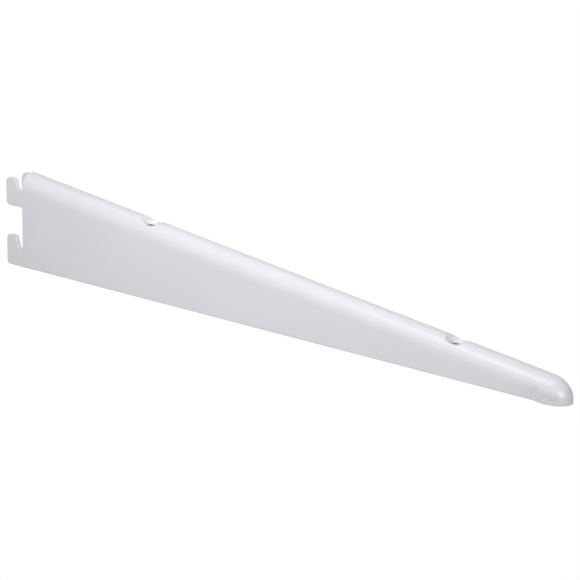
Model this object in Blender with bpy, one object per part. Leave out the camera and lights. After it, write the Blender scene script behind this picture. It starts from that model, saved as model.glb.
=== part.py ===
"""A slotted shelf bracket: one pressed steel channel, closed along its crown, with a round nose and
four hooks.

Metres, +Z up. The bracket stands on its open side, with X from the hooks to the nose and Y across the
channel. The origin is under its middle, level with its lowest point. Stations are distances in front of
the rear edge, and heights are above the two straight open edges.
"""
import math

import bmesh
import bpy

LENGTH = 0.3705         # rear edge to the tip of the nose
WIDTH = 0.014           # across the outer faces of the two walls
SHEET = 0.0022          # coated steel

SHOULDER_RISE = 0.0089  # height of the rounded shoulder between a wall and the crown
CROWN_LAND = 0.0015     # flat strip along the crown
NOSE_HEIGHT = 0.0130    # crown above the open edges where the nose starts
NOSE_REACH = 0.0128     # length of the rounded nose
NOSE_RISE = 0.0095      # height of its rounded front
LIP_DEPTH = 0.0006      # the nose's lower edge below the open edges, at its deepest
LIP_START = 0.0210      # tip of the nose back to where that edge starts to drop
LIP_RAMP = 0.0080       # from there to its deepest
LIP_END = 0.0065        # tip of the nose back to where it rises again
LIP_RADIUS = 0.030      # of its bends

HOOK_REACH = 0.0115     # rear edge to the back of the hooks
HOOK_PITCH = 0.032      # one throat floor to the next
LOWER_ROOT = 0.0101     # lower throat floor above the open edges
UPPER_ROOT = 0.0093     # upper throat floor above the underside of its hook
LOWER_PRONG = 0.0064    # prongs above their throat floors
UPPER_PRONG = 0.0059
THROAT_FOOT = 0.0028    # throat width at its floor
THROAT_MOUTH = 0.0048   # throat width at the tip of the prong
THROAT_FILLET = 0.0011
TIP_RADIUS = 0.0008     # corner of a prong beside its throat
BACK_RADIUS = 0.0026    # corner of a prong at its back
TOE_RADIUS = 0.0020     # lower rear corner of a hook
ARMPIT_FILLET = 0.0005  # where the upper hook's underside meets the rear edge

REAR_HOLE = 0.0885      # station of the rear screw hole
FRONT_SETBACK = 0.0735  # tip of the nose back to the front screw hole
HOLE_DIAMETER = 0.0050
SEAT_DIAMETER = 0.0086  # mouth of the countersunk seat, whose side leans at 45 degrees
SEAT_RING = 0.0003      # ring round that seat, at the bottom of its dimple
DIMPLE_RAMP = 0.0021    # width of the slope round that ring
DIMPLE_DEPTH = 0.0016   # at the middle of the crown
DIMPLE_CURVE = 0.3      # share of the crown's cross curve that the bottom of a dimple keeps

COAT_COLOUR = (0.84, 0.85, 0.87, 1.0)
COAT_ROUGHNESS = 0.38

SHOULDER_STEPS = 16     # rows of faces up a shoulder
NOSE_STEPS = 22         # columns round the nose
DIMPLE_STEPS = 22       # columns along a dimple
HOLE_SIDES = 32
DEGREES_PER_SIDE = 12   # of a rounded corner in the side outline
SHARP_DEGREES = 35      # an edge that turns further stays sharp in the shading

REAR_HEIGHT = LOWER_ROOT + HOOK_PITCH + SHOULDER_RISE
NOSE_START = LENGTH - NOSE_REACH
FALL = (REAR_HEIGHT - NOSE_HEIGHT) / NOSE_START
HOLE_STATIONS = (REAR_HOLE, LENGTH - FRONT_SETBACK)
FLOOR_RADIUS = SEAT_DIAMETER / 2 + SEAT_RING
DIMPLE_RADIUS = FLOOR_RADIUS + DIMPLE_RAMP
TAB_END = -THROAT_FOOT * 3 / 4      # the flat tabs stop and the rounded body starts inside the throats
BODY_START = -THROAT_FOOT / 4
REAR_X = (HOOK_REACH - LENGTH) / 2
BASE_Z = LIP_DEPTH      # open edges above the origin
PAST = 0.003            # how far a form or a cutter runs past the finished surface


def smooth(t):
    """0 to 1 with level ends."""
    t = min(max(t, 0.0), 1.0)
    return t * t * (3 - 2 * t)


def crown_height(station):
    return REAR_HEIGHT - FALL * station


def pressed(drop, station, y):
    """How far a point lies below the crown once the dimples are pressed in, from how far it lay before."""
    gap = max(0.0, DIMPLE_DEPTH - (1 - DIMPLE_CURVE) * drop)
    nearest = min(math.hypot(station - hole, y) for hole in HOLE_STATIONS)
    return drop + gap * smooth((DIMPLE_RADIUS - nearest) / DIMPLE_RAMP)


def shoulder_points(station, side_y, nose_x, inset):
    """The form's points above the foot of the shoulder, from the foot up to the crown's flat strip.

    side_y and nose_x are the shares of the half width and of the nose's reach that this column points to.
    """
    land = CROWN_LAND / 2
    out_y = WIDTH / 2 - inset - land
    out_x = NOSE_REACH - inset - land
    rise = SHOULDER_RISE + (NOSE_RISE - SHOULDER_RISE) * nose_x ** 2 - inset
    for step in range(SHOULDER_STEPS + 1):
        angle = step / SHOULDER_STEPS * math.pi / 2
        x = station + nose_x * (land + out_x * math.cos(angle))
        y = side_y * (land + out_y * math.cos(angle))
        drop = rise * (1 - math.sin(angle))
        yield x, y, crown_height(x) - inset - pressed(drop, x, y)


def tab_points(station, side_y, inset, top):
    """The same number of points for the flat tabs behind the rear edge, which run straight up."""
    foot = crown_height(0) - SHOULDER_RISE
    for step in range(SHOULDER_STEPS + 1):
        y = side_y * (WIDTH / 2 - inset)
        yield station, y, foot + (top - foot) * step / SHOULDER_STEPS


def body_stations():
    """Stations from inside the throats to the start of the nose, close together only at the dimples."""
    stations = [BODY_START]
    for hole in HOLE_STATIONS:
        start = hole - DIMPLE_RADIUS
        stations += [start + 2 * DIMPLE_RADIUS * step / DIMPLE_STEPS for step in range(DIMPLE_STEPS + 1)]
    return stations + [NOSE_START]


def channel_form(name, inset, past):
    """The channel as a solid block, with every face moved in by inset and its open sides run out by past."""
    tabs = [-HOOK_REACH - past, TAB_END]
    top = crown_height(-HOOK_REACH) + past
    straight = body_stations()
    bm = bmesh.new()

    def column(points):
        points = list(points)
        x, y = points[0][:2]
        return [bm.verts.new((REAR_X + px, py, BASE_Z + pz)) for px, py, pz in [(x, y, -past)] + points]

    def side(side_y):
        return ([column(tab_points(station, side_y, inset, top)) for station in tabs]
                + [column(shoulder_points(station, side_y, 0.0, inset)) for station in straight])

    near, far = side(-1.0), side(1.0)
    turns = [math.pi * step / NOSE_STEPS for step in range(1, NOSE_STEPS)]
    nose = [column(shoulder_points(NOSE_START, -math.cos(turn), math.sin(turn), inset)) for turn in turns]
    columns = near + nose + far[::-1]
    for left, right in zip(columns, columns[1:]):
        for row in range(SHOULDER_STEPS + 1):
            bm.faces.new((left[row], right[row], right[row + 1], left[row + 1]))
    for (a, b), (d, c) in zip(zip(near, near[1:]), zip(far, far[1:])):
        bm.faces.new((a[-1], b[-1], c[-1], d[-1]))
    bm.faces.new([near[-1][-1]] + [one[-1] for one in nose] + [far[-1][-1]])
    bm.faces.new([one[0] for one in columns][::-1])
    bm.faces.new(near[0] + far[0][::-1])
    return finished(name, bm)


def rounded(corners):
    """A closed outline through (x, z, radius) corners, with each radius as an arc."""
    outline = []
    for index, (x, z, radius) in enumerate(corners):
        before, after = corners[index - 1], corners[(index + 1) % len(corners)]
        to_before = math.atan2(before[1] - z, before[0] - x)
        to_after = math.atan2(after[1] - z, after[0] - x)
        turn = math.remainder(to_before + math.pi - to_after, 2 * math.pi)
        if radius == 0 or turn == 0:
            outline.append((x, z))
            continue
        tangent = radius * math.tan(abs(turn) / 2)
        side = -math.copysign(math.pi / 2, turn)
        heading = to_before + math.pi
        start = (x + tangent * math.cos(to_before), z + tangent * math.sin(to_before))
        centre = (start[0] + radius * math.cos(heading + side), start[1] + radius * math.sin(heading + side))
        sides = max(2, math.ceil(math.degrees(abs(turn)) / DEGREES_PER_SIDE))
        for step in range(sides + 1):
            angle = heading - side - turn * step / sides
            outline.append((centre[0] + radius * math.cos(angle), centre[1] + radius * math.sin(angle)))
    return outline


def hook_corners(floor, prong, underside, inner_fillet):
    """One hook's corners from the top of its throat, round the prong, to its underside at the rear edge."""
    tip = floor + prong
    throat = [(0, floor, THROAT_FILLET), (-THROAT_FOOT, floor, THROAT_FILLET)]
    prong_corners = [(-THROAT_MOUTH, tip, TIP_RADIUS), (-HOOK_REACH, tip, BACK_RADIUS)]
    return throat + prong_corners + [(-HOOK_REACH, underside, TOE_RADIUS)] + inner_fillet


def side_profile(name):
    """The bracket's outline from the side, as a block that runs past both walls."""
    upper_floor = LOWER_ROOT + HOOK_PITCH
    under = upper_floor - UPPER_ROOT
    high = REAR_HEIGHT + PAST
    corners = [(0, high, 0)]
    corners += hook_corners(upper_floor, UPPER_PRONG, under, [(0, under, ARMPIT_FILLET)])
    corners += hook_corners(LOWER_ROOT, LOWER_PRONG, 0, [])
    lip_start = LENGTH - LIP_START
    corners += [(lip_start, 0, LIP_RADIUS), (lip_start + LIP_RAMP, -LIP_DEPTH, LIP_RADIUS)]
    corners += [(LENGTH - LIP_END, -LIP_DEPTH, LIP_RADIUS), (LENGTH + PAST, 0, 0), (LENGTH + PAST, high, 0)]
    bm = bmesh.new()
    face = bm.faces.new([bm.verts.new((REAR_X + x, -WIDTH, BASE_Z + z)) for x, z in rounded(corners)])
    block = bmesh.ops.extrude_face_region(bm, geom=[face])
    moved = [part for part in block["geom"] if isinstance(part, bmesh.types.BMVert)]
    bmesh.ops.translate(bm, verts=moved, vec=(0, 2 * WIDTH, 0))
    return finished(name, bm)


def round_cutter(name, station, low_radius, high_radius, low, high):
    """A cone or cylinder square to the crown. low and high are measured from the ring round one seat."""
    bm = bmesh.new()
    bmesh.ops.create_cone(bm, cap_ends=True, segments=HOLE_SIDES, radius1=low_radius, radius2=high_radius,
                          depth=high - low)
    bmesh.ops.translate(bm, verts=bm.verts, vec=(0, 0, (low + high) / 2))
    cutter = finished(name, bm)
    cutter.rotation_euler.y = math.atan(FALL)
    cutter.location = (REAR_X + station, 0, BASE_Z + crown_height(station) - DIMPLE_DEPTH)
    return cutter


def hole_cutter(name, station):
    radius = HOLE_DIAMETER / 2
    return round_cutter(name, station, radius, radius, -SHEET - PAST, PAST)


def seat_cutter(name, station):
    """A cone from above the ring down into the hole's own space."""
    high_radius = SEAT_DIAMETER / 2 + PAST
    low_radius = HOLE_DIAMETER / 4
    return round_cutter(name, station, low_radius, high_radius, PAST - high_radius + low_radius, PAST)


def finished(name, bm):
    bmesh.ops.recalc_face_normals(bm, faces=bm.faces)
    mesh = bpy.data.meshes.new(name)
    bm.to_mesh(mesh)
    bm.free()
    made = bpy.data.objects.new(name, mesh)
    bpy.context.scene.collection.objects.link(made)
    return made


def combine(target, operation, tool):
    """Adds a Boolean to the target and hides its tool."""
    modifier = target.modifiers.new(tool.name, "BOOLEAN")
    modifier.operation = operation
    modifier.solver = "EXACT"
    modifier.object = tool
    tool.hide_render = True
    tool.display_type = "WIRE"


def white_powder_coat():
    material = bpy.data.materials.new("white_powder_coat")
    material.use_nodes = True
    shader = material.node_tree.nodes["Principled BSDF"]
    shader.inputs["Base Color"].default_value = COAT_COLOUR
    shader.inputs["Metallic"].default_value = 0.0
    shader.inputs["Roughness"].default_value = COAT_ROUGHNESS
    return material


def shelf_bracket():
    bracket = channel_form("shelf_bracket", 0.0, PAST)
    combine(bracket, "DIFFERENCE", channel_form("inside_form", SHEET, 2 * PAST))
    combine(bracket, "INTERSECT", side_profile("side_profile"))
    for place, station in zip(("rear", "front"), HOLE_STATIONS):
        combine(bracket, "DIFFERENCE", hole_cutter(place + "_hole", station))
        combine(bracket, "DIFFERENCE", seat_cutter(place + "_seat", station))
    bracket.data.materials.append(white_powder_coat())
    bracket.data.shade_smooth()
    bracket.data.set_sharp_from_angle(angle=math.radians(SHARP_DEGREES))


for old in list(bpy.data.objects):
    bpy.data.objects.remove(old)
shelf_bracket()
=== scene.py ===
"""A slotted shelf bracket of pressed sheet steel in white powder coat, on a plain pale floor.

Metres, in the CAD part's frame. Stations are distances in front of the bracket's rear edge, and heights
are above its two straight open edges, as in the part's own source.
"""
import math

import bmesh
import bpy
from mathutils import Matrix, Vector


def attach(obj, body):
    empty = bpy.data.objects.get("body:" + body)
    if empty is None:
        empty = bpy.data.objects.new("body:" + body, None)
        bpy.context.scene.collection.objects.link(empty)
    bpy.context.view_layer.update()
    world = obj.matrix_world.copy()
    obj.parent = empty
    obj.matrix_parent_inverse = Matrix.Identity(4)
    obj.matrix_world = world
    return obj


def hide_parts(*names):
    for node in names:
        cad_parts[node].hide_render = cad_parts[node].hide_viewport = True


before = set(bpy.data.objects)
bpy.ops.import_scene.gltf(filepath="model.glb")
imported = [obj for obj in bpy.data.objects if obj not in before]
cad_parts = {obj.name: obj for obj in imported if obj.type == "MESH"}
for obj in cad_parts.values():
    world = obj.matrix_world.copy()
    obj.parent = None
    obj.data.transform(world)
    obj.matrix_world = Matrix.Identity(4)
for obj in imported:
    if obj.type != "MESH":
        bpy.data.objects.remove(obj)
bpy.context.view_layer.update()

NODE = "shelf_bracket"
EDGE_SHADE = "painted_edge_shade"          # mesh attribute for painted shade, up to 1 on the rounds of the cut edges that face down

# The pressed sheet, as in the part's own source.
LENGTH = 0.3705
WIDTH = 0.014
SHEET = 0.0022
EDGE_ROUND = 0.00045        # the coating rounds every cut edge

SHOULDER_RISE = 0.0089
CROWN_LAND = 0.0015
NOSE_HEIGHT = 0.0130
NOSE_REACH = 0.0128
NOSE_RISE = 0.0095
LIP_DEPTH = 0.0006
LIP_START = 0.0210
LIP_RAMP = 0.0080
LIP_END = 0.0065
LIP_BACK = 0.65             # share of the lip's dip that the tip of the nose takes back

HOOK_REACH = 0.0115
HOOK_PITCH = 0.032
LOWER_ROOT = 0.0101
UPPER_ROOT = 0.0093
LOWER_PRONG = 0.0064
UPPER_PRONG = 0.0059
THROAT_FOOT = 0.0028
THROAT_MOUTH = 0.0048
THROAT_FILLET = 0.0011
TIP_RADIUS = 0.0008
BACK_RADIUS = 0.0026
TOE_RADIUS = 0.0020
ARMPIT_FILLET = 0.0005

HOLE_STATIONS = (0.0885, LENGTH - 0.0735)
HOLE_RADIUS = 0.0025
SEAT_RADIUS = 0.0043        # mouth of the countersunk seat, whose side leans at 45 degrees
SEAT_RING = 0.0003
SEAT_ROUND = 0.0005         # of its coated mouth
FOOT_ROUND = 0.0002         # of the edges at its foot
DIMPLE_RAMP = 0.0021
DIMPLE_DEPTH = 0.0016
DIMPLE_CURVE = 0.3

# How finely it is meshed.
SHOULDER_ROWS = 24          # from the foot of a shoulder to the crown's flat strip
FILLET_ROWS = 2             # of them beside the upper throat's fillet
LAND_SHARE = 0.08           # of half the crown's girth, for its flat strip
NOSE_TURNS = 44
LIP_STEPS = 16
PATCH_HALF = 0.008          # half length of the patch of mesh round a hole
PATCH_STATIONS = 14
PATCH_RINGS = 24
STRIP_STATION = 0.012       # longest quad between the patches
DEGREES_PER_SIDE = 9        # of an arc in an outline
LEAST_SIDES = 2
ROUND_STEPS = 4             # of each rounded edge
MITRE_LIMIT = 0.5           # least cosine at a corner of an outline that is drawn in
HALVINGS = 40               # in the search for a hole's edge
LARGE_FACE_WEIGHT = 60      # of the flat walls in the shading of their edges

# The white powder coat. Each noise is its features per metre and its detail. Limits are the two values
# of a noise between which its effect comes in.
COAT_COLOUR = (0.79, 0.80, 0.838, 1)
CLOUD_COLOUR = (0.778, 0.788, 0.828, 1)
CLOUDS = (40, 3)            # the faint unevenness of its colour
CLOUD_LIMITS = (0.35, 0.65)
GLOSS = (240, 2)            # and of its gloss
GLOSS_LIMITS = (0.3, 0.7)
ROUGHNESS_RANGE = (0.275, 0.315)
PEEL = (700, 2)             # its orange peel
PEEL_DEPTH = 0.000015
GRAIN = (4200, 1)           # the cured grains of powder
GRAIN_DEPTH = 0.000001
EDGE_SHADE_COLOUR = (0.38, 0.385, 0.41, 1)    # painted shade on the rounds of the edges that face down
EDGE_SHADE_FULL = 0.6             # how far down the round of an edge faces where its painted shade is full
MARK_CORE = 0.3             # share of a mark's reach where it is full
NOSE_SHADE_COLOUR = (0.685, 0.692, 0.73, 1)   # painted shade, low on the sides of the nose
NOSE_SHADE = ((LENGTH - 0.021, 0, 0.002), (0.023, 0.010, 0.013))       # middle, and reach each way
SMUDGE_AND_SHADE_COLOUR = (0.52, 0.52, 0.57, 1)      # faint smudges on the near side of the nose, partly painted shade that darkens its wall
SMUDGE_AND_SHADE_PATCHES = (230, 2)
SMUDGE_AND_SHADE_LIMITS = (0.42, 0.62)
SMUDGES_AND_SHADE = (                    # middle, reach each way, share of the colour
    ((LENGTH - 0.0088, -0.0060, 0.0020), (0.0070, 0.006, 0.0045), 0.55),
    ((LENGTH - 0.0193, -0.0070, 0.0058), (0.0050, 0.004, 0.0036), 0.30),
)

# The white studio. Azimuths go round from the bracket's near wall towards its nose.
FLOOR_RADIUS = 5.0
SWEEP_RADIUS = 1.5          # of the floor's curve up into the backdrop
BACKDROP_TOP = 3.5
FLOOR_TURNS = 64
SWEEP_STEPS = 12
AIM_HEIGHT = 0.02           # of the point that the softboxes face
SOFTBOXES = {               # azimuth, elevation, distance, width, height, watts
    "rear": (-90, 8, 2.5, 1.0, 1.0, 18.0),
    "front": (42, 16, 2.5, 1.0, 1.0, 28.4),
    "strip": (24, 20, 2.5, 0.4, 1.2, 5.3),
    "right": (90, 50, 2.5, 1.0, 1.0, 3.9),
    "over_far": (6, 53.5, 0.846, 0.3, 0.3, 0.72),
    "over_near": (-9.5, 47, 0.449, 0.3, 0.3, 0.69),
    "over_nose": (34, 69.5, 0.513, 0.3, 0.3, 0.19),
    "over_back": (-135, 74, 0.5, 0.3, 0.3, 0.22),
    "crest": (-12, 51, 0.346, 0.1, 0.1, 0.10),
    "fill": (-9.5, 15, 0.315, 0.15, 0.15, 0.06),
}
GLOWS = (                   # azimuth, elevation, cosines where it starts and is full, radiance
    (-140, 10, 0.6, 1.0, 0.30),
    (180, 40, 0.6, 1.0, 0.35),
    (180, 0, -0.1, 0.6, 0.22),
    (180, -20, 0.6, 1.0, 0.30),
    (0, -90, 0.1, 0.45, 0.34),
)

# The view, with its angles as for the lights.
VIEW_AZIMUTH = 41.752
VIEW_ELEVATION = 16.549
VIEW_DISTANCE = 2.9545
VIEW_ASIDE = 0.13798        # aim to the right of the rear edge, across the view
VIEW_DOWN = 0.01378         # and below it
VIEW_END = 100.0
LENS = 343.1
SENSOR = 36.0

WHITE = (1, 1, 1, 1)
BLACK = (0, 0, 0, 1)
MIX_INPUTS = (0, 6, 7)      # a colour mix's factor and its two colours, whose names aren't unique
MIX_OUTPUT = 2

# What follows from the sizes. REAR_X and BASE_Z are the place of the rear edge's foot in the CAD frame.
UPPER_FLOOR = LOWER_ROOT + HOOK_PITCH
REAR_HEIGHT = UPPER_FLOOR + SHOULDER_RISE
DIMPLE_RADIUS = SEAT_RADIUS + SEAT_RING + DIMPLE_RAMP
NOSE_START = LENGTH - NOSE_REACH
FALL = (REAR_HEIGHT - NOSE_HEIGHT) / NOSE_START
REAR_X = (HOOK_REACH - LENGTH) / 2
BASE_Z = LIP_DEPTH


def smooth(t):
    t = min(max(t, 0.0), 1.0)
    return t * t * (3 - 2 * t)


def crown_height(station):
    return REAR_HEIGHT - FALL * station


def lower_edge(station):
    """Height of the sheet's lower edge, which dips under the nose."""
    dip = smooth((station - LENGTH + LIP_START) / LIP_RAMP)
    back_up = smooth((station - LENGTH + LIP_END) / LIP_END)
    return -LIP_DEPTH * dip * (1 - LIP_BACK * back_up)


def pressed(drop, station, y):
    """How far a point lies below the crown once the dimples are pressed in, from how far it lay before."""
    gap = max(0.0, DIMPLE_DEPTH - (1 - DIMPLE_CURVE) * drop)
    shares = [smooth((DIMPLE_RADIUS - math.hypot(station - hole, y)) / DIMPLE_RAMP)
              for hole in HOLE_STATIONS]
    return drop + gap * max(shares)


def across(share, inset):
    """y and drop below the crown at a share of the way across it, from -1 at one foot to 1 at the other."""
    land = CROWN_LAND / 2
    if abs(share) <= LAND_SHARE:
        return share / LAND_SHARE * land, 0.0
    angle = (1 - abs(share)) / (1 - LAND_SHARE) * math.pi / 2
    reach = WIDTH / 2 - inset - land
    return (math.copysign(land + reach * math.cos(angle), share),
            (SHOULDER_RISE - inset) * (1 - math.sin(angle)))


def web_point(station, share, inset):
    y, drop = across(share, inset)
    return REAR_X + station, y, BASE_Z + crown_height(station) - inset - pressed(drop, station, y)


def nose_point(turn, row, inset):
    """A point of the rounded nose. turn goes from the near wall round to the far one."""
    land = CROWN_LAND / 2
    angle = row / SHOULDER_ROWS * math.pi / 2
    forward, aside = math.sin(turn), -math.cos(turn)
    x = NOSE_START + forward * (land + (NOSE_REACH - inset - land) * math.cos(angle))
    y = aside * (land + (WIDTH / 2 - inset - land) * math.cos(angle))
    rise = SHOULDER_RISE + (NOSE_RISE - SHOULDER_RISE) * forward ** 2 - inset
    return REAR_X + x, y, BASE_Z + crown_height(x) - inset - rise * (1 - math.sin(angle))


def rounded(path):
    """A path through (x, z, radius) corners, with each radius as an arc. Its two ends stay sharp."""
    points = [path[0][:2]]
    for before, (x, z, radius), after in zip(path, path[1:], path[2:]):
        to_before = math.atan2(before[1] - z, before[0] - x)
        to_after = math.atan2(after[1] - z, after[0] - x)
        turn = math.remainder(to_before + math.pi - to_after, 2 * math.pi)
        tangent = radius * math.tan(abs(turn) / 2)
        side = -math.copysign(math.pi / 2, turn)
        heading = to_before + math.pi
        start = (x + tangent * math.cos(to_before), z + tangent * math.sin(to_before))
        centre = (start[0] + radius * math.cos(heading + side),
                  start[1] + radius * math.sin(heading + side))
        sides = max(LEAST_SIDES, math.ceil(math.degrees(abs(turn)) / DEGREES_PER_SIDE))
        for step in range(sides + 1):
            angle = heading - side - turn * step / sides
            points.append((centre[0] + radius * math.cos(angle), centre[1] + radius * math.sin(angle)))
    return points + [path[-1][:2]]


def hook_path(floor, prong, underside, first_fillet):
    tip = floor + prong
    return [(0, floor, first_fillet), (-THROAT_FOOT, floor, THROAT_FILLET),
            (-THROAT_MOUTH, tip, TIP_RADIUS), (-HOOK_REACH, tip, BACK_RADIUS),
            (-HOOK_REACH, underside, TOE_RADIUS)]


def wall_outline():
    """From the top of the upper throat's fillet, round both hooks and along the open edge to the nose."""
    under = UPPER_FLOOR - UPPER_ROOT
    fillet = SHOULDER_RISE * math.sin(FILLET_ROWS / SHOULDER_ROWS * math.pi / 2)
    path = [(0, UPPER_FLOOR + 2 * fillet)]
    path += hook_path(UPPER_FLOOR, UPPER_PRONG, under, fillet) + [(0, under, ARMPIT_FILLET)]
    path += hook_path(LOWER_ROOT, LOWER_PRONG, 0, THROAT_FILLET)
    path += [(NOSE_START, 0)]
    points = rounded(path)[1:-1]
    lip_start = LENGTH - LIP_START
    for step in range(LIP_STEPS + 1):
        station = lip_start + (NOSE_START - lip_start) * step / LIP_STEPS
        points.append((station, lower_edge(station)))
    return points


def drawn_in(outline, distance):
    """The outline moved into the sheet. The sheet is on the left of its direction of travel."""
    moved = []
    for index, (x, z) in enumerate(outline):
        before = outline[index - 1] if index else (x, z + 1)
        after = outline[index + 1] if index + 1 < len(outline) else (x + 1, z)
        first = Vector((x - before[0], z - before[1])).normalized()
        second = Vector((after[0] - x, after[1] - z)).normalized()
        along = (first + second).normalized()
        reach = distance / max(MITRE_LIMIT, along.dot(first))
        moved.append((x - along.y * reach, z + along.x * reach))
    return moved


def web_shares():
    half = [-1 + (1 - LAND_SHARE) * row / SHOULDER_ROWS for row in range(SHOULDER_ROWS + 1)]
    return half + [-share for share in reversed(half)]


def strip_stations(start, end):
    steps = max(1, math.ceil((end - start) / STRIP_STATION))
    return [start + (end - start) * step / steps for step in range(steps + 1)]


def seat_profile():
    """(radius, inset) pairs down through one hole, from the outer skin to the inner one."""
    lean = SEAT_RADIUS - HOLE_RADIUS
    path = [(SEAT_RADIUS + SEAT_ROUND, 0), (SEAT_RADIUS, 0, SEAT_ROUND), (HOLE_RADIUS, lean, FOOT_ROUND),
            (HOLE_RADIUS, SHEET, FOOT_ROUND), (HOLE_RADIUS + EDGE_ROUND, SHEET)]
    return rounded(path)


def hole_ray(hole, station, share, radius, inset):
    """Share of the way from a hole's centre to a place on its patch's border at which its edge lies."""
    low, high = 0.0, 1.0
    for _ in range(HALVINGS):
        middle = (low + high) / 2
        y = across(share * middle, inset)[0]
        if math.hypot((station - hole) * middle + FALL * inset, y) < radius:
            low = middle
        else:
            high = middle
    return low


class Sheet:
    """Gathers the sheet's skins and its rounded edges into one closed mesh.

    rim is how far a layer of it lies in from the cut edge, and inset how far in from the outer skin.
    """

    def __init__(self):
        self.bm = bmesh.new()
        self.edge_shade = self.bm.verts.layers.float.new(EDGE_SHADE)
        self.outline = wall_outline()
        self.shares = web_shares()

    def vertex(self, point):
        return self.bm.verts.new(point)

    def wall_vertices(self, side, rim, inset):
        """The side outline. Its first fillet is as flat as the shoulder that it runs up into."""
        flatter = 1 - inset / SHOULDER_RISE
        made = []
        for x, z in drawn_in(self.outline, rim)[1:]:
            if x > -THROAT_FOOT / 2 and z > UPPER_FLOOR:
                z = UPPER_FLOOR + (z - UPPER_FLOOR) * flatter
            made.append(self.vertex((REAR_X + x, side * (WIDTH / 2 - inset), BASE_Z + z)))
        return made

    def edge_loop(self, rim, inset):
        """The sheet's outer edge: across the rear of the web, down the far wall, round the nose and back."""
        shares = self.shares[FILLET_ROWS:-FILLET_ROWS]
        rear = [self.vertex(web_point(rim, share, inset)) for share in shares]
        far = self.wall_vertices(1, rim, inset)
        nose = []
        for step in range(NOSE_TURNS - 1, 0, -1):
            x, y, _ = nose_point(math.pi * step / NOSE_TURNS, 0, inset)
            nose.append(self.vertex((x, y, BASE_Z + lower_edge(x - REAR_X) + rim)))
        near = self.wall_vertices(-1, rim, inset)
        return rear, far, nose, near

    def hole_reaches(self, hole, radius, inset):
        return [hole_ray(hole, station, share, radius, inset) for station, share in self.border(hole)]

    def ring(self, hole, reaches, inset):
        """A ring of vertices round a hole, each some way along its ray from the centre to the border."""
        return [self.vertex(web_point(hole + (station - hole) * reach, share * reach, inset))
                for (station, share), reach in zip(self.border(hole), reaches)]

    def border(self, hole):
        """The places round the border of a hole's patch, as (station, share) pairs."""
        start, end = hole - PATCH_HALF, hole + PATCH_HALF
        between = [start + (end - start) * step / PATCH_STATIONS for step in range(1, PATCH_STATIONS)]
        return ([(start, share) for share in reversed(self.shares)]
                + [(station, -1.0) for station in between]
                + [(end, share) for share in self.shares]
                + [(station, 1.0) for station in reversed(between)])

    def quads(self, one, other, closed=False):
        pairs = list(zip(one, one[1:], other[1:], other))
        if closed:
            pairs.append((one[-1], one[0], other[0], other[-1]))
        for corners in pairs:
            self.bm.faces.new(corners)

    def skin(self, rim, inset, hole_radius):
        """One whole skin of the sheet. Returns the loops of vertices at its edges."""
        rear, far, nose, near = self.edge_loop(rim, inset)
        first = [self.vertex(web_point(rim, share, inset)) for share in self.shares[:FILLET_ROWS]]
        last = [self.vertex(web_point(rim, share, inset)) for share in self.shares[-FILLET_ROWS:]]
        column = first + rear + last
        feet = [(column[0], column[-1])]
        station = rim
        holes = []
        for hole in HOLE_STATIONS:
            column = self.strip(column, station, hole - PATCH_HALF, inset, feet)
            near_feet, column, far_feet, edge = self.patch(hole, column, hole_radius, inset)
            holes.append(edge)
            feet += list(zip(near_feet, far_feet)) + [(column[0], column[-1])]
            station = hole + PATCH_HALF
        column = self.strip(column, station, NOSE_START, inset, feet)
        self.nose(column, nose, near[-1], far[-1], inset)
        near_feet, far_feet = (list(side) for side in zip(*feet))
        self.wall(near, near_feet, first, rear[0])
        self.wall(far, far_feet, last[::-1], rear[-1])
        return rear + far + nose + near[::-1], holes

    def strip(self, column, start, end, inset, feet):
        """Columns of quads along the web. Adds the two feet of each to feet, and returns the last one."""
        for station in strip_stations(start, end)[1:]:
            following = [self.vertex(web_point(station, share, inset)) for share in self.shares]
            self.quads(column, following)
            column = following
            feet.append((column[0], column[-1]))
        return column

    def patch(self, hole, column, radius, inset):
        """Rings of quads from a hole's edge out to a border that begins on the column before it.

        Returns the near feet, the last column, the far feet and the hole's edge.
        """
        reaches = self.hole_reaches(hole, radius, inset)
        edge = inner = self.ring(hole, reaches, inset)
        for step in range(1, PATCH_RINGS):
            share = step / PATCH_RINGS
            outer = self.ring(hole, [reach + (1 - reach) * share for reach in reaches], inset)
            self.quads(inner, outer, closed=True)
            inner = outer
        rest = self.border(hole)[len(column):]
        outer = column[::-1] + [self.vertex(web_point(station, share, inset)) for station, share in rest]
        self.quads(inner, outer, closed=True)
        start, end = len(column) + PATCH_STATIONS - 1, 2 * len(column) + PATCH_STATIONS - 1
        return outer[len(column):start], outer[start:end], outer[end:][::-1], edge

    def nose(self, column, edge, near_corner, far_corner, inset):
        """The nose, from the web's last column round to its other side, down to the lower edge."""
        rows = SHOULDER_ROWS + 1
        near, far = column[:rows], column[rows:][::-1]
        previous, low = near, near_corner
        tops = [near[-1]]
        for step, corner in zip(range(1, NOSE_TURNS), edge[::-1]):
            turn = math.pi * step / NOSE_TURNS
            following = [self.vertex(nose_point(turn, row, inset)) for row in range(rows)]
            self.quads(previous, following)
            self.bm.faces.new((low, corner, following[0], previous[0]))
            previous, low = following, corner
            tops.append(following[-1])
        self.quads(previous, far)
        self.bm.faces.new((low, far_corner, far[0], previous[0]))
        self.bm.faces.new(tops + [far[-1]])

    def wall(self, outline, feet, beside_fillet, top):
        """The flat wall under one foot of the web. beside_fillet climbs from its first foot to the top."""
        self.bm.faces.new([top] + outline + feet[:0:-1] + beside_fillet)

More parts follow.
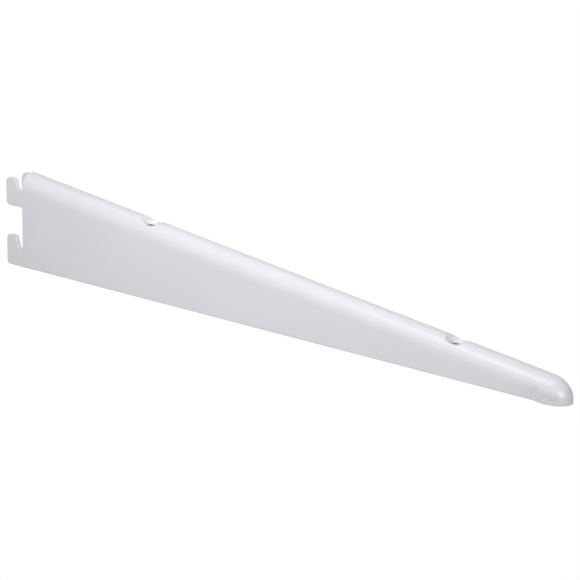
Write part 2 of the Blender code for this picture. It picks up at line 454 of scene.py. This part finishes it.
    def build(self):
        """Both skins, the layers between them round the cut edge, and the walls of the holes."""
        turns = [math.pi / 2 * step / ROUND_STEPS for step in range(ROUND_STEPS + 1)]
        outside = [(EDGE_ROUND * (1 - math.sin(turn)), EDGE_ROUND * (1 - math.cos(turn)))
                   for turn in turns]
        layers = outside + [(rim, SHEET - inset) for rim, inset in reversed(outside)]
        seat = seat_profile()
        loop, holes = self.skin(*layers[0], seat[0][0])
        last_loop, last_holes = self.skin(*layers[-1], seat[-1][0])
        for rim, inset in layers[1:-1]:
            rear, far, nose, near = self.edge_loop(rim, inset)
            following = rear + far + nose + near[::-1]
            # the layers round the cut edge carry the painted shade
            for vertex in following:
                vertex[self.edge_shade] = 1.0
            self.quads(loop, following, closed=True)
            loop = following
        self.quads(loop, last_loop, closed=True)
        for hole, first, last in zip(HOLE_STATIONS, holes, last_holes):
            for radius, inset in seat[1:-1]:
                edge = self.ring(hole, self.hole_reaches(hole, radius, inset), inset)
                self.quads(first, edge, closed=True)
                first = edge
            self.quads(first, last, closed=True)
        bmesh.ops.recalc_face_normals(self.bm, faces=self.bm.faces)
        self.bm.normal_update()
        # the painted shade stays only where the rounds face down
        for vertex in self.bm.verts:
            vertex[self.edge_shade] *= smooth(-vertex.normal.z / EDGE_SHADE_FULL)
        mesh = bpy.data.meshes.new("bracket_sheet")
        self.bm.to_mesh(mesh)
        self.bm.free()
        mesh.shade_smooth()
        return mesh


def bracket():
    made = bpy.data.objects.new("bracket_sheet", Sheet().build())
    bpy.context.scene.collection.objects.link(made)
    weighted = made.modifiers.new("flat_walls", "WEIGHTED_NORMAL")
    weighted.mode = "FACE_AREA"
    weighted.weight = LARGE_FACE_WEIGHT
    return made


class Nodes:
    """The node tree of a material or the world, with the few kinds of node that this scene needs."""

    def __init__(self, owner):
        owner.use_nodes = True
        self.nodes = owner.node_tree.nodes
        self.links = owner.node_tree.links

    def place(self, kind="Object"):
        return self.nodes.new("ShaderNodeTexCoord").outputs[kind]

    def noise(self, scale, detail):
        made = self.nodes.new("ShaderNodeTexNoise")
        made.inputs["Scale"].default_value = scale
        made.inputs["Detail"].default_value = detail
        self.links.new(self.place(), made.inputs["Vector"])
        return made.outputs["Fac"]

    def ranged(self, value, start, end, first, last):
        """Goes smoothly from first to last as value goes from start to end."""
        made = self.nodes.new("ShaderNodeMapRange")
        made.interpolation_type = "SMOOTHSTEP"
        for name, number in zip(("From Min", "From Max", "To Min", "To Max"), (start, end, first, last)):
            made.inputs[name].default_value = number
        self.links.new(value, made.inputs["Value"])
        return made.outputs["Result"]

    def math(self, operation, one, other):
        made = self.nodes.new("ShaderNodeMath")
        made.operation = operation
        self.links.new(one, made.inputs[0])
        self.links.new(other, made.inputs[1])
        return made.outputs["Value"]

    def vector(self, operation, one, other=None):
        """A vector operation on the output one and the fixed vector other."""
        made = self.nodes.new("ShaderNodeVectorMath")
        made.operation = operation
        self.links.new(one, made.inputs[0])
        if other:
            made.inputs[1].default_value = other
        return made.outputs["Value" if operation in ("DOT_PRODUCT", "LENGTH") else "Vector"]

    def blended(self, share, under, over):
        """The colour under, turning into the fixed colour over as share goes from 0 to 1."""
        made = self.nodes.new("ShaderNodeMix")
        made.data_type = "RGBA"
        factor, below, above = (made.inputs[index] for index in MIX_INPUTS)
        self.links.new(share, factor)
        if isinstance(under, tuple):
            below.default_value = under
        else:
            self.links.new(under, below)
        above.default_value = over
        return made.outputs[MIX_OUTPUT]

    def near(self, middle, reach, most=1.0):
        """The most at a point of the bracket, falling to 0 at the reach each way."""
        station, y, height = middle
        aside = self.vector("SUBTRACT", self.place(), (REAR_X + station, y, BASE_Z + height))
        away = self.vector("LENGTH", self.vector("DIVIDE", aside, reach))
        return self.ranged(away, MARK_CORE, 1, most, 0)

    def bumped(self, height, depth, under=None):
        made = self.nodes.new("ShaderNodeBump")
        made.inputs["Distance"].default_value = depth
        self.links.new(height, made.inputs["Height"])
        if under:
            self.links.new(under, made.inputs["Normal"])
        return made.outputs["Normal"]


def powder_coat():
    """White polyester powder: faintly clouded, with orange peel, painted shade on the rounds of the edges
    that face down and low on the sides of the nose, and a few smudges that are partly painted shade.
    """
    material = bpy.data.materials.new("white_powder_coat")
    coat = Nodes(material)
    clouds = coat.ranged(coat.noise(*CLOUDS), *CLOUD_LIMITS, 0, 1)
    colour = coat.blended(clouds, COAT_COLOUR, CLOUD_COLOUR)
    # painted shade on the rounds of the edges that face down
    edge_shade = coat.nodes.new("ShaderNodeAttribute")
    edge_shade.attribute_name = EDGE_SHADE
    colour = coat.blended(edge_shade.outputs["Fac"], colour, EDGE_SHADE_COLOUR)
    # painted shade, low on the sides of the nose
    colour = coat.blended(coat.near(*NOSE_SHADE), colour, NOSE_SHADE_COLOUR)
    # smudges on the near side of the nose, partly painted shade that darkens its wall
    patches = coat.ranged(coat.noise(*SMUDGE_AND_SHADE_PATCHES), *SMUDGE_AND_SHADE_LIMITS, 0, 1)
    for mark in SMUDGES_AND_SHADE:
        colour = coat.blended(coat.math("MULTIPLY", patches, coat.near(*mark)), colour, SMUDGE_AND_SHADE_COLOUR)
    roughness = coat.ranged(coat.noise(*GLOSS), *GLOSS_LIMITS, *ROUGHNESS_RANGE)
    peel = coat.bumped(coat.noise(*PEEL), PEEL_DEPTH)
    grain = coat.bumped(coat.noise(*GRAIN), GRAIN_DEPTH, peel)
    shader = coat.nodes["Principled BSDF"]
    coat.links.new(colour, shader.inputs["Base Color"])
    coat.links.new(roughness, shader.inputs["Roughness"])
    coat.links.new(grain, shader.inputs["Normal"])
    return material


def paper_white():
    """An evenly lit white paper backdrop."""
    material = bpy.data.materials.new("paper_white")
    shader = Nodes(material).nodes["Principled BSDF"]
    shader.inputs["Base Color"].default_value = BLACK
    shader.inputs["Specular IOR Level"].default_value = 0
    shader.inputs["Emission Color"].default_value = WHITE
    shader.inputs["Emission Strength"].default_value = 1
    return material


def floor():
    """A pale floor that sweeps up into a round backdrop. The bracket isn't lit by it."""
    profile = [(FLOOR_RADIUS, 0.0)]
    for step in range(1, SWEEP_STEPS + 1):
        angle = math.pi / 2 * step / SWEEP_STEPS
        profile.append((FLOOR_RADIUS + SWEEP_RADIUS * math.sin(angle),
                        SWEEP_RADIUS * (1 - math.cos(angle))))
    profile.append((FLOOR_RADIUS + SWEEP_RADIUS, BACKDROP_TOP))
    bm = bmesh.new()
    turns = [2 * math.pi * turn / FLOOR_TURNS for turn in range(FLOOR_TURNS)]
    rings = [[bm.verts.new((radius * math.cos(turn), radius * math.sin(turn), z)) for turn in turns]
             for radius, z in profile]
    bm.faces.new(rings[0])
    for inner, outer in zip(rings, rings[1:]):
        for index in range(FLOOR_TURNS):
            after = (index + 1) % FLOOR_TURNS
            bm.faces.new((inner[index], outer[index], outer[after], inner[after]))
    mesh = bpy.data.meshes.new("floor")
    bm.to_mesh(mesh)
    bm.free()
    mesh.materials.append(paper_white())
    made = bpy.data.objects.new("floor", mesh)
    bpy.context.scene.collection.objects.link(made)
    made.visible_diffuse = made.visible_glossy = made.visible_shadow = False


def direction(azimuth, elevation):
    a, e = math.radians(azimuth), math.radians(elevation)
    return Vector((math.sin(a) * math.cos(e), -math.cos(a) * math.cos(e), math.sin(e)))


def softbox(name, azimuth, elevation, distance, width, height, watts):
    """A rectangular area light that faces the middle of the bracket."""
    lamp = bpy.data.lights.new(name, "AREA")
    lamp.shape = "RECTANGLE"
    lamp.size, lamp.size_y = width, height
    lamp.energy = watts
    made = bpy.data.objects.new(name, lamp)
    bpy.context.scene.collection.objects.link(made)
    towards = direction(azimuth, elevation)
    made.location = Vector((0, 0, AIM_HEIGHT)) + towards * distance
    made.rotation_euler = towards.to_track_quat("Z", "Y").to_euler()
    made.visible_camera = False


def studio():
    """Soft white glows behind the bracket and below it, in a dark room."""
    world = bpy.data.worlds.new("studio")
    bpy.context.scene.world = world
    room = Nodes(world)
    place = room.place("Generated")
    total = None
    for azimuth, elevation, start, full, radiance in GLOWS:
        cosine = room.vector("DOT_PRODUCT", place, direction(azimuth, elevation))
        glow = room.ranged(cosine, start, full, 0, radiance)
        total = room.math("ADD", total, glow) if total else glow
    background = room.nodes["Background"]
    background.inputs["Color"].default_value = WHITE
    room.links.new(total, background.inputs["Strength"])


def camera():
    made = bpy.data.objects.new("camera", bpy.data.cameras.new("camera"))
    bpy.context.scene.collection.objects.link(made)
    made.data.lens = LENS
    made.data.sensor_width = SENSOR
    made.data.clip_end = VIEW_END
    back = direction(VIEW_AZIMUTH, VIEW_ELEVATION)
    right = Vector((0, 0, 1)).cross(back).normalized()
    up = back.cross(right)
    aim = Vector((REAR_X, 0, BASE_Z)) + right * VIEW_ASIDE - up * VIEW_DOWN
    turn = Matrix((right, up, back)).transposed().to_4x4()
    made.matrix_world = Matrix.Translation(aim + back * VIEW_DISTANCE) @ turn
    bpy.context.scene.camera = made


piece = bracket()
piece.data.materials.append(powder_coat())
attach(piece, "root")
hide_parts(NODE)

floor()
studio()
for name, values in SOFTBOXES.items():
    softbox(name, *values)
camera()
bpy.context.scene.view_settings.view_transform = "Standard"
